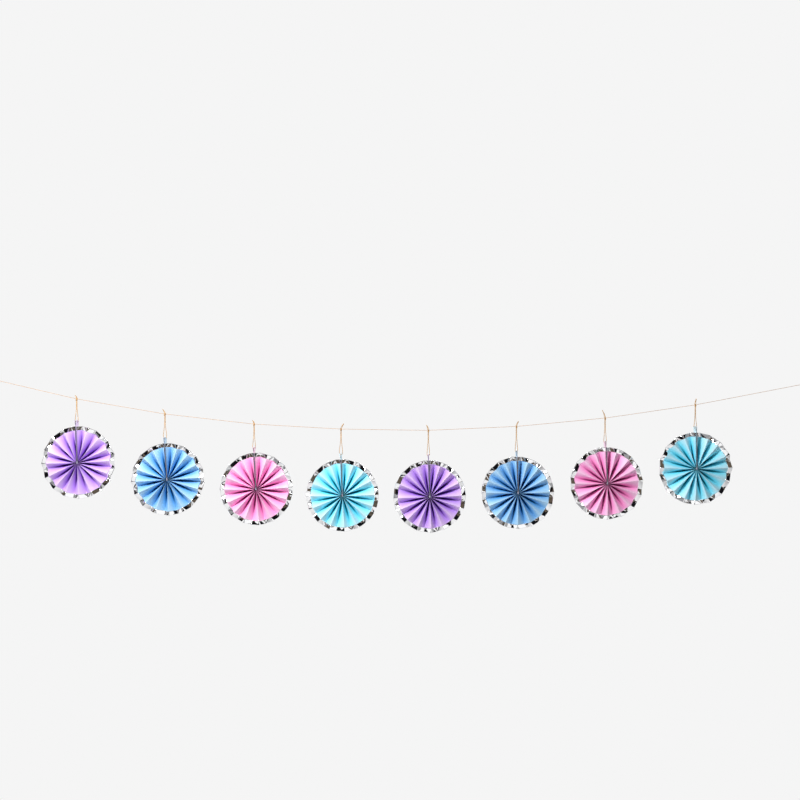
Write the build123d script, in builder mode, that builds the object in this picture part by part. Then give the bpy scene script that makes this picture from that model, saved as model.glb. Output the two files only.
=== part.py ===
# Paper fan garland: eight pleated paper fans with foil rims, hung from one string by twine loops.
#
# Lengths are in millimetres and angles in degrees. +X runs along the garland to the right, +Z is
# up, and the fans face -Y. The origin is the far end of the left eye, where it hangs on its hook.
from build123d import *

import os
from math import asin, cos, degrees, pi, radians, sin, sqrt, tan

# The pleated sheet: one strip of paper, accordion folded and closed into a ring
fan_radius = 75.0
pleat_count = 16
rim_depth = 8.4  # front fold to back fold at the rim
paper_thickness = 0.3
end_panel_share = 0.7  # width of the panels beside the joint, against the others
hub_pitch_share = 1.1  # room that each panel takes round the hub, against its thickness
facet_place_shares = (0.0, 0.3, 1.0)  # ends of the flat facets, from hub to foil

# The foil that covers both faces of the sheet along its rim
foil_width = 9.0
foil_thickness = 0.1

# The two stiff cards at the ends of the sheet, glued back to back, each with a holed tab
card_thickness = 1.0
card_foot_gap = 0.15  # from the foot of the cards to the pleats round the hub
tab_height = 12.8
tab_width = 13.0
tab_corner = 3.0
hole_radius = 2.0
hole_sides = 8  # with a corner at the top, where the twine rests
hole_inset = 4.2  # from the top of the tab to the middle of the hole

# The twine loops, from the tabs up to the string
twine_diameter = 1.1
loop_drop = 50.0  # the longest, from the string to the top of the tab
loop_drop_shares = (0.88, 0.96, 0.94, 1.0, 0.99, 1.0, 0.955, 0.885)
eye_width = 5.2  # between the two legs of a loop, at its widest
leg_gap = 0.2  # between the two legs of a loop or an eye, at the knot
card_side_gap = 0.9  # from the legs to the faces of the cards
hole_top_gap = 0.4  # from the twine to the upper edge of the hole
loop_top_gap = 0.3  # from the legs to the underside of the knot
belly_height_share = 0.22  # where the legs are widest apart, up from the hole

# The knots that tie the loops round the string, each with two cut ends
knot_width = 4.0
knot_length = 3.6
knot_chamfer_share = 0.17
knot_bore_gap = 0.12
tail_length = 16.0  # the longest, from the middle of the string
tail_length_shares = (0.42, 0.58, 0.44, 0.75, 0.64, 0.68, 1.0, 0.78)
tail_leans = (-19, -22, -18, 21, -14, 18, -13, 4)
second_tail_share = 0.7  # length of the other cut end, against the first
second_tail_turn = 24
tail_root_share = 0.4  # where the cut ends start inside the knot, against its width

# The garland: where the knots sit along the string, and how each fan leans from its hole
first_knot_x = 221.6
first_knot_drop = 51.7
knot_span = 1283.4
knot_place_shares = (0.0, 0.1426, 0.2867, 0.4272, 0.5684, 0.7108, 0.8541, 1.0)
string_sag = 65.1
knot_drop_shares = (0.0, 0.478, 0.8, 0.959, 1.0, 0.874, 0.608, 0.19)
fan_leans = (2.4, 4.1, 3.4, 2.1, 1.8, 1.7, 2.1, 0.2)

# The string, and the eye and knot at each of its ends
string_diameter = 0.8
hook_eye_length = 38.0
hook_eye_width = 8.4
hook_eye_shoulder = 8.0  # from the hook to where the eye is widest
hook_turn_width = 5.2
end_knot_length = 5.0
end_knot_width = 4.2
end_tail_length = 9.0
end_tail_turn = 38
end_knot_gap = 0.1  # from the legs of the eye to the face of its knot

# The string's route in x and z: it is straight from knot to knot, with a slight turn at each,
# shared between two points beside the knot
string_route = [
    (41.9, -9.8),
    (215.6, -50.5), (227.6, -52.9),
    (398.6, -81.9), (410.6, -83.7),
    (583.5, -103.3), (595.5, -104.3),
    (763.8, -113.9), (775.8, -114.3),
    (945.0, -116.9), (957.0, -116.7),
    (1127.8, -109.1), (1139.8, -108.3),
    (1311.8, -92.0), (1323.8, -90.6),
    (1499.0, -65.1), (1511.0, -63.1),
    (1742.3, -18.6),
]

bend_share = 0.45  # of the shorter run beside a bend, taken up by the bend's arc
cord_sides = 4
knot_sides = 6
full_turn = 360

os.makedirs("parts", exist_ok=True)


def write(part, name):
    """Label a finished piece and write it as one STEP file."""
    part.label = name
    export_step(part, f"parts/{name}.step")


# Folds of the sheet. They are numbered clockwise from the joint at the top: even ones are ridges
# towards the front, odd ones are valleys. A fan's own plane has +Y up and +Z towards the viewer.
panel_count = 2 * pleat_count
hub_radius = (panel_count * hub_pitch_share * paper_thickness + 2 * card_thickness) / (2 * pi)
fold_length = fan_radius - hub_radius
bare_length = fold_length - foil_width
panel_shares = [end_panel_share] + [1] * (panel_count - 2) + [end_panel_share]
turn_shares = [sum(panel_shares[:fold]) / sum(panel_shares) for fold in range(panel_count + 1)]


def around(fold, radius):
    """The place of a fold at a radius, with room for a card on each side of the joint."""
    joint_angle = degrees(asin(card_thickness / radius))
    angle = radians(joint_angle + turn_shares[fold] * (full_turn - 2 * joint_angle))
    return Vector(radius * sin(angle), radius * cos(angle))


def along(fold, distance):
    """The place of a fold in plan, at a distance along it from the hub."""
    hub, rim = around(fold, hub_radius), around(fold, fan_radius)
    return hub + (rim - hub) * (distance / fold_length)


def panel_spacing(distance):
    """From one fold to the next in plan, on any panel but those beside the joint."""
    return (along(2, distance) - along(1, distance)).length


pleat_depth = sqrt(panel_spacing(fold_length) ** 2 + rim_depth**2)


def depth_at(distance):
    """From front fold to back fold. The panel keeps its width, so it stands up as it narrows."""
    return sqrt(pleat_depth**2 - panel_spacing(distance) ** 2)


def wall_at(distance):
    """The paper's thickness measured along the fan's axis, where its panel slopes as it does."""
    spacing = panel_spacing(distance)
    across = spacing * sqrt(pleat_depth**2 - paper_thickness**2) - paper_thickness * depth_at(distance)
    return paper_thickness * across / (spacing**2 - paper_thickness**2)


def sheet_point(fold, distance, side, covered=False):
    """A corner of the sheet's front (side 1) or back (side -1), or of the foil that covers it."""
    wall = wall_at(distance)
    ridge = 1 if fold % 2 == 0 else -1
    cover = wall * foil_thickness / paper_thickness if covered else 0
    height = ridge * (depth_at(distance) - wall) / 2 + side * (wall / 2 + cover)
    place = along(fold, distance)
    return Vector(place.X, place.Y, height)


def joined_by_facets(sections):
    """A folded strip from its section at each fold: neighbours are joined by flat triangles.

    Each panel is creased from the hub end of its ridge to the rim end of its valley, which is how
    a flat panel takes up the turn between standing at the hub and lying open at the rim.
    """
    facets = [Face(Wire.make_polygon(section)) for section in (sections[0], sections[-1])]
    for fold, (here, there) in enumerate(zip(sections, sections[1:])):
        for corner in range(len(here)):
            a, b = here[corner - 1], here[corner]
            d, c = there[corner - 1], there[corner]
            outward = Vector(b.X, b.Y).length > Vector(a.X, a.Y).length
            if outward == (fold % 2 == 0):
                halves = [(a, b, c), (a, c, d)]
            else:
                halves = [(b, c, d), (b, d, a)]
            facets += [Face(Wire.make_polygon(half)) for half in halves]
    return Solid(Shell(facets))


# The pleated sheet, in the fan's own plane
sheet_places = [share * bare_length for share in facet_place_shares] + [fold_length]
sheet_sections = [
    [sheet_point(fold, place, 1) for place in sheet_places]
    + [sheet_point(fold, place, -1) for place in reversed(sheet_places)]
    for fold in range(panel_count + 1)
]
with BuildPart() as sheet_form:
    add(joined_by_facets(sheet_sections))

# The foil edging: it lies on the front, goes over the rim and lies on the back
foil_edge = fold_length + foil_thickness
foil_sections = [
    [sheet_point(fold, place, 1, covered=True) for place in (bare_length, foil_edge)]
    + [sheet_point(fold, place, -1, covered=True) for place in (foil_edge, bare_length)]
    + [sheet_point(fold, place, -1) for place in (bare_length, fold_length)]
    + [sheet_point(fold, place, 1) for place in (fold_length, bare_length)]
    for fold in range(panel_count + 1)
]
with BuildPart() as foil_form:
    add(joined_by_facets(foil_sections))

# The end card on the right of the joint: its width is the depth of a pleat at the hub
card_foot = -sqrt((hub_radius - card_foot_gap) ** 2 - card_thickness**2)
tab_top = fan_radius + tab_height
hole_height = tab_top - hole_inset
with BuildPart() as right_card_form:
    with BuildSketch(Plane.YZ) as card_profile:
        with BuildLine() as card_outline:
            Polyline(
                (card_foot, 0),
                (card_foot, pleat_depth / 2),
                (fan_radius, pleat_depth / 2),
                (fan_radius + (pleat_depth - tab_width) / 2, tab_width / 2),
                (tab_top - tab_corner, tab_width / 2),
                (tab_top, tab_width / 2 - tab_corner),
                (tab_top, 0),
            )
            mirror(about=Plane.XZ)
        make_face()
        with Locations((hole_height, 0)):
            RegularPolygon(radius=hole_radius, side_count=hole_sides, mode=Mode.SUBTRACT)
    extrude(amount=card_thickness)

with BuildPart() as left_card_form:
    add(mirror(right_card_form.part, about=Plane.YZ, mode=Mode.PRIVATE))

fan_forms = {
    "pleated_sheet": sheet_form,
    "foil_edging": foil_form,
    "left_end_card": left_card_form,
    "right_end_card": right_card_form,
}


def bend_radii(route):
    """The radius of each bend of a cord: as large as its two runs allow."""
    radii = []
    for before, at, after in zip(route, route[1:], route[2:]):
        turn = (at - before).get_angle(after - at)
        shorter = min((at - before).length, (after - at).length)
        radii.append(bend_share * shorter / tan(radians(turn / 2)))
    return radii


def cord(route, diameter, name):
    """A plain cord along a route of runs and tangent arcs, with its bends and volume printed."""
    radii = bend_radii(route)
    with BuildPart() as tube:
        with BuildLine() as path:
            line = FilletPolyline(*route, radius=radii)
        with BuildSketch(Plane(origin=line @ 0, z_dir=line % 0)) as section:
            RegularPolygon(radius=diameter / 2, side_count=cord_sides)
        sweep()
    expected = section.sketch.area * line.length
    print(f"{name}: length {line.length:.1f}, bends {[round(r, 1) for r in radii]}, "
          f"volume {tube.part.volume:.2f} against {expected:.2f}")
    return tube.part


def tied_knot(length, width, bore=0):
    """The body of a tied knot round the X axis, with a way through it for the string."""
    with BuildPart() as body:
        with BuildSketch(Plane.YZ):
            RegularPolygon(radius=width / 2, side_count=knot_sides, major_radius=False,
                           rotation=(full_turn / 2 - full_turn / knot_sides) / 2)
        extrude(amount=length / 2, both=True)
        ends = body.edges().group_by(Axis.X)
        chamfer(ends[0] + ends[-1], length=width * knot_chamfer_share)
        if bore:
            with BuildSketch(Plane.YZ):
                RegularPolygon(radius=bore / 2, side_count=cord_sides)
            extrude(amount=length, both=True, mode=Mode.SUBTRACT)
    return body.part


def cut_end(diameter, start, length, turn):
    """A cut end of cord that stands out of a knot, turned from upright towards +X."""
    lean = radians(turn)
    upright = Vector(sin(lean), 0, cos(lean))
    with BuildPart() as tail:
        with BuildSketch(Plane(origin=upright * start, x_dir=(0, 1, 0), z_dir=upright)):
            RegularPolygon(radius=diameter / 2, side_count=cord_sides)
        extrude(amount=length - start)
    return tail.part


# The garland's places: the middle of each knot on the string, and the string's slope there
route = [Vector(x, 0, z) for x, z in string_route]
knot_places = [
    Vector(first_knot_x + share * knot_span, 0, -first_knot_drop - drop * string_sag)
    for share, drop in zip(knot_place_shares, knot_drop_shares)
]
string_slopes = [(after - before).normalized() for before, after in zip(route[1::2], route[2::2])]


def seat_along(origin, direction):
    """A frame with +X along a direction in the garland's plane, and +Z as near upright as can be."""
    return Plane(origin=origin, x_dir=direction, z_dir=Vector(0, 0, 1) - direction * direction.Z)


write(cord(route, string_diameter, "garland_string"), "garland_string")

# The eyes at the ends of the string, which hang on hooks, and the knots that close them
half_turn, half_eye = hook_turn_width / 2, hook_eye_width / 2
eye_end = (string_diameter + leg_gap) / 2
leg_end = hook_eye_length - end_knot_gap
eye_route = [
    (leg_end, eye_end),
    (hook_eye_shoulder, half_eye),
    (-string_diameter / 2, half_turn),
    (-string_diameter / 2, -half_turn),
    (hook_eye_shoulder, -half_eye),
    (leg_end, -eye_end),
]
for side, end, neighbour in (("left", route[0], route[1]), ("right", route[-1], route[-2])):
    inward = (neighbour - end).normalized()
    hook_seat = seat_along(end - inward * (hook_eye_length + end_knot_length), inward)
    eye = [hook_seat.from_local_coords(Vector(x, 0, z)) for x, z in eye_route]
    write(cord(eye, string_diameter, f"{side}_end_loop"), f"{side}_end_loop")
    with BuildPart() as end_knot:
        with Locations(seat_along(end - inward * (end_knot_length / 2), inward).location):
            add(tied_knot(end_knot_length, end_knot_width))
            add(cut_end(string_diameter, 0, end_tail_length, end_tail_turn))
    write(end_knot.part, f"{side}_end_knot")

# The fans, each hung from its own knot
for n, (knot, slope) in enumerate(zip(knot_places, string_slopes)):
    fan = f"fan_{n + 1}"

    # The knot, turned to the string's slope, with the two cut ends of the twine above it
    tail = tail_length * tail_length_shares[n]
    with BuildPart() as hanging_knot:
        with Locations(seat_along(knot, slope).location):
            add(tied_knot(knot_length, knot_width, string_diameter + 2 * knot_bore_gap))
        with Locations(knot):
            root = knot_width * tail_root_share
            add(cut_end(twine_diameter, root, tail, tail_leans[n]))
            add(cut_end(twine_diameter, root, tail * second_tail_share, tail_leans[n] + second_tail_turn))
    write(hanging_knot.part, f"{fan}_hanging_knot")

    # The twine loop: down from the knot, through both cards' holes, and up again
    hole = knot - Vector(0, 0, loop_drop * loop_drop_shares[n] + hole_inset)
    bight = hole.Z + hole_radius - hole_top_gap - twine_diameter / 2
    leg_height = knot.Z - knot_width / 2 / slope.X - loop_top_gap - bight
    leg = [
        (card_thickness + card_side_gap + twine_diameter / 2, 0),
        (eye_width / 2, belly_height_share),
        ((twine_diameter + leg_gap) / 2, 1),
    ]
    both_legs = [(-spread, share) for spread, share in reversed(leg)] + leg
    loop = [Vector(hole.X + spread, 0, bight + share * leg_height) for spread, share in both_legs]
    write(cord(loop, twine_diameter, f"{fan}_twine_loop"), f"{fan}_twine_loop")

    # The fan: it leans about the hole, by which it hangs
    lean = radians(fan_leans[n])
    hanging = Plane(origin=hole, x_dir=(cos(lean), 0, sin(lean)), z_dir=(0, -1, 0))
    middle = hanging.from_local_coords(Vector(0, -hole_height, 0))
    seat = Plane(origin=middle, x_dir=hanging.x_dir, z_dir=hanging.z_dir)
    for piece, form in fan_forms.items():
        with BuildPart() as placed:
            with Locations(seat.location):
                add(form.part)
        write(placed.part, f"{fan}_{piece}")
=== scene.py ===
"""The looks of a paper fan garland: pleated paper, mirror foil rims, end cards, twine and string.

The frame has +X along the garland, +Z up, and the fans face -Y. Sizes in the classes are in millimetres
and meshes are in metres. A fan is drawn in its own plane, with x to the right, y up and z to the viewer.
"""

import logging
import math
from dataclasses import dataclass, field
from enum import Enum
from typing import Any, Optional, Sequence, Union

import bmesh
import bpy
from mathutils import Matrix, Vector

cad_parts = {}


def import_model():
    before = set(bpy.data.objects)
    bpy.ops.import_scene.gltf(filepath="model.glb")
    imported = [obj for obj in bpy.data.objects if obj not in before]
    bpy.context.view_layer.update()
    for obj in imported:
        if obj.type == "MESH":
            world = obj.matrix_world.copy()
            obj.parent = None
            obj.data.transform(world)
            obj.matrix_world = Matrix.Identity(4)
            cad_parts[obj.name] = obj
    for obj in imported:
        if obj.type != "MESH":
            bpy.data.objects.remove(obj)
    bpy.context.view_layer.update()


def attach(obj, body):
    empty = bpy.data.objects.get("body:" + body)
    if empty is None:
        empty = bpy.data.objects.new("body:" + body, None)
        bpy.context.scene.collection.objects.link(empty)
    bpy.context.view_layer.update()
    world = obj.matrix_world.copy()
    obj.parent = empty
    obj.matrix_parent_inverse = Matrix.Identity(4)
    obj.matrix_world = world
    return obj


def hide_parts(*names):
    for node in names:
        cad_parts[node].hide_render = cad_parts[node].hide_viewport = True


log = logging.getLogger("garland")

MM = 0.001
BODY = "root"
Colour = tuple[float, float, float]
Number = Union[float, "Wire"]


class Wire:
    """One output of a node, with the arithmetic that is written on it."""

    def __init__(self, board: "Board", socket: bpy.types.NodeSocket) -> None:
        """Keeps the socket and the board that it is on."""
        self.board = board
        self.socket = socket

    def maths(self, operation: str, *others: Number) -> "Wire":
        """This value and up to two others, through one Math node."""
        return self.board.maths(operation, self, *others)

    def clamped(self, low: float = 0.0, high: float = 1.0) -> "Wire":
        """This value, held between two limits."""
        return self.maths("MAXIMUM", low).maths("MINIMUM", high)

    def __add__(self, other: Number) -> "Wire":
        """The sum."""
        return self.maths("ADD", other)

    __radd__ = __add__

    def __sub__(self, other: Number) -> "Wire":
        """The difference."""
        return self.maths("SUBTRACT", other)

    def __rsub__(self, other: Number) -> "Wire":
        """The difference from a number."""
        return self.board.maths("SUBTRACT", other, self)

    def __mul__(self, other: Number) -> "Wire":
        """The product."""
        return self.maths("MULTIPLY", other)

    __rmul__ = __mul__

    def __truediv__(self, other: Number) -> "Wire":
        """The quotient."""
        return self.maths("DIVIDE", other)

    def __pow__(self, other: Number) -> "Wire":
        """The power."""
        return self.maths("POWER", other)


@dataclass(frozen=True)
class Grain:
    """The grain of one noise: its scale, how fine it goes, and how much it is twisted."""

    scale: float
    detail: float = 2.0
    twist: float = 0.0


class Board:
    """Writes the nodes of one tree."""

    def __init__(self, tree: bpy.types.NodeTree) -> None:
        """Starts writing on a tree."""
        self.tree = tree

    def node(self, kind: str, settings: Optional[dict[str, Any]] = None,
             sockets: Optional[dict[Union[str, int], Any]] = None) -> bpy.types.Node:
        """Adds one node.

        Args:
            kind: the node's type.
            settings: its properties, set first. A ramp's stops are pairs of a place and a colour.
            sockets: values or wires for its inputs, by name or number.

        Returns:
            The node.
        """
        made = self.tree.nodes.new(kind)
        for name, value in (settings or {}).items():
            if name == "stops":
                ramp = made.color_ramp
                while len(ramp.elements) < len(value):
                    ramp.elements.new(0.5)
                for element, (place, colour) in zip(ramp.elements, value):
                    element.position = place
                    element.color = (*colour, 1.0)
            elif name == "interpolation":
                made.color_ramp.interpolation = value
            else:
                setattr(made, name, value)
        for name, value in (sockets or {}).items():
            if isinstance(value, Wire):
                self.tree.links.new(value.socket, made.inputs[name])
            else:
                made.inputs[name].default_value = value
        return made

    def wire(self, kind: str, settings: Optional[dict[str, Any]] = None,
             sockets: Optional[dict[Union[str, int], Any]] = None, output: Union[str, int] = 0) -> Wire:
        """Adds one node and gives one of its outputs."""
        return Wire(self, self.node(kind, settings, sockets).outputs[output])

    def attribute(self, name: str, output: str = "Fac") -> Wire:
        """What a mesh carries under a name."""
        return self.wire("ShaderNodeAttribute", {"attribute_name": name}, None, output)

    def maths(self, operation: str, *values: Number) -> Wire:
        """One Math node on numbers and wires."""
        return self.wire("ShaderNodeMath", {"operation": operation}, dict(enumerate(values)))

    def vector(self, x: Number = 0.0, y: Number = 0.0, z: Number = 0.0) -> Wire:
        """A vector from its three parts."""
        return self.wire("ShaderNodeCombineXYZ", None, {"X": x, "Y": y, "Z": z})

    def vectors(self, operation: str, *values: Any) -> Wire:
        """One Vector Math node on vectors."""
        return self.wire("ShaderNodeVectorMath", {"operation": operation}, dict(enumerate(values)))

    def scaled(self, vector: Wire, factor: Number) -> Wire:
        """A vector times a number."""
        return self.wire("ShaderNodeVectorMath", {"operation": "SCALE"}, {0: vector, "Scale": factor})

    def parts(self, vector: Wire) -> tuple[Wire, Wire, Wire]:
        """The three parts of a vector."""
        made = self.node("ShaderNodeSeparateXYZ", None, {0: vector})
        return Wire(self, made.outputs[0]), Wire(self, made.outputs[1]), Wire(self, made.outputs[2])

    def mixed(self, factor: Number, first: Any, second: Any) -> Wire:
        """One colour over another."""
        return self.wire("ShaderNodeMix", {"data_type": "RGBA"}, {0: factor, 6: first, 7: second}, 2)

    def noise(self, vector: Wire, grain: Grain) -> Wire:
        """Noise between 0 and 1."""
        sockets = {"Scale": grain.scale, "Detail": grain.detail, "Distortion": grain.twist}
        return self.wire("ShaderNodeTexNoise", None, {"Vector": vector, **sockets})


class GeometryBoard(Board):
    """A tree of geometry nodes with named inputs, and the last nodes that every tree here has."""

    SOCKETS = {float: "NodeSocketFloat", int: "NodeSocketInt"}

    def __init__(self, name: str, inputs: dict[str, Union[float, int]]) -> None:
        """Makes the tree.

        Args:
            name: the tree's name.
            inputs: each named input, with the value that it starts from.
        """
        super().__init__(bpy.data.node_groups.new(name, "GeometryNodeTree"))
        face = self.tree.interface
        face.new_socket("Geometry", in_out="INPUT", socket_type="NodeSocketGeometry")
        for title, value in inputs.items():
            socket = face.new_socket(title, in_out="INPUT", socket_type=self.SOCKETS[type(value)])
            socket.default_value = value
        face.new_socket("Material", in_out="INPUT", socket_type="NodeSocketMaterial")
        face.new_socket("Geometry", in_out="OUTPUT", socket_type="NodeSocketGeometry")
        self.start = self.tree.nodes.new("NodeGroupInput")

    def input(self, title: str) -> Wire:
        """One of the tree's named inputs."""
        return Wire(self, self.start.outputs[title])

    def random(self, low: float, high: float, number: Wire, seed: Wire) -> Wire:
        """A random number that is the same for the same whole number and seed."""
        return self.wire("FunctionNodeRandomValue", {"data_type": "FLOAT"},
                         {2: low, 3: high, "ID": number, "Seed": seed}, 1)

    def close(self, geometry: Wire) -> None:
        """Ends the tree: instances made real, the material set, and the result sent out.

        Args:
            geometry: what the tree has made.
        """
        real = self.wire("GeometryNodeRealizeInstances", None, {"Geometry": geometry})
        dressed = self.wire("GeometryNodeSetMaterial", None,
                            {"Geometry": real, "Material": self.input("Material")})
        end = self.tree.nodes.new("NodeGroupOutput")
        self.tree.links.new(dressed.socket, end.inputs["Geometry"])

    def run(self, host: bpy.types.Object, material: bpy.types.Material, **values: Union[float, int]
            ) -> bpy.types.Mesh:
        """Runs the tree on an object and reads its result.

        Args:
            host: the object that the modifier is put on, removed afterwards.
            material: the finish.
            **values: the named inputs to set, with underscores for spaces.

        Returns:
            The plain mesh.
        """
        modifier = host.modifiers.new("shape", "NODES")
        modifier.node_group = self.tree
        wanted = {title.replace("_", " "): value for title, value in values.items()}
        wanted["Material"] = material
        for item in self.tree.interface.items_tree:
            if item.in_out == "INPUT" and item.name in wanted:
                modifier[item.identifier] = wanted.pop(item.name)
        if wanted:
            raise ValueError(f"{self.tree.name} has no input named {sorted(wanted)}")
        mesh = mesh_of(host)
        bpy.data.objects.remove(host)
        return mesh


def mesh_of(host: bpy.types.Object) -> bpy.types.Mesh:
    """An object's mesh with its modifiers applied.

    Args:
        host: the object.

    Returns:
        A new mesh.
    """
    bpy.context.view_layer.update()
    graph = bpy.context.evaluated_depsgraph_get()
    shaped = host.evaluated_get(graph)
    return bpy.data.meshes.new_from_object(shaped, preserve_all_data_layers=True, depsgraph=graph)


def linked(name: str, data: Any) -> bpy.types.Object:
    """A new object for some data, in the scene.

    Args:
        name: the object's name.
        data: its mesh, curve, lamp or camera.

    Returns:
        The object.
    """
    made = bpy.data.objects.new(name, data)
    bpy.context.scene.collection.objects.link(made)
    return made


def piece(name: str, mesh: bpy.types.Mesh, slot: str, *nodes: str) -> bpy.types.Object:
    """A finished piece that rides on the garland and stands for CAD nodes.

    Args:
        name: the piece's name.
        mesh: its mesh, in place and dressed.
        slot: not used.
        *nodes: the CAD nodes that it stands for.

    Returns:
        The piece.
    """
    mesh.name = name
    made = linked(name, mesh)
    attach(made, BODY)
    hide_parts(*nodes)
    log.info("%s: %d faces, for %s", name, len(mesh.polygons), ", ".join(nodes))
    return made


class Finish:
    """A material under way: a Principled shader and a board to write its nodes on."""

    def __init__(self, name: str, **sockets: Any) -> None:
        """Makes the material, with what is the same all over it set on the shader's own sockets.

        Args:
            name: the material's name.
            **sockets: values for the shader's sockets, with underscores for spaces.
        """
        self.material = bpy.data.materials.new(name)
        self.material.use_nodes = True
        self.board = Board(self.material.node_tree)
        self.shader = self.material.node_tree.nodes["Principled BSDF"]
        for title, value in sockets.items():
            self.shader.inputs[title.replace("_", " ")].default_value = value
        coordinates = self.board.node("ShaderNodeTexCoord")
        self.place = Wire(self.board, coordinates.outputs["Object"])

    def feed(self, socket: str, value: Wire) -> None:
        """Links what changes over the surface to one of the shader's sockets."""
        self.board.tree.links.new(value.socket, self.shader.inputs[socket])

    def bump(self, height: Wire, distance: float, strength: float = 1.0) -> None:
        """Relief, with its distance in metres."""
        sockets = {"Strength": strength, "Distance": distance, "Height": height}
        self.feed("Normal", self.board.wire("ShaderNodeBump", None, sockets))


class Shade(Enum):
    """The paper's colours, as they go along the garland."""

    PURPLE = "purple_paper"
    BLUE = "blue_paper"
    PINK = "pink_paper"
    AQUA = "aqua_paper"


@dataclass(frozen=True)
class Dye:
    """A paper's colour where it lies open, and a deeper, more saturated colour painted in as shade between
    the pleats.
    """

    open: Colour
    painted_shade: Colour


# Each dye's second colour is painted shade: deeper and more saturated, for between the pleats.
DYES: dict[Shade, Dye] = {
    Shade.PURPLE: Dye((0.75, 0.55, 0.89), (0.32, 0.11, 0.72)),
    Shade.BLUE: Dye((0.41, 0.66, 0.88), (0.015, 0.29, 0.72)),
    Shade.PINK: Dye((0.94, 0.60, 0.81), (0.96, 0.22, 0.62)),
    Shade.AQUA: Dye((0.57, 0.84, 0.95), (0.05, 0.80, 1.00)),
}


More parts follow.
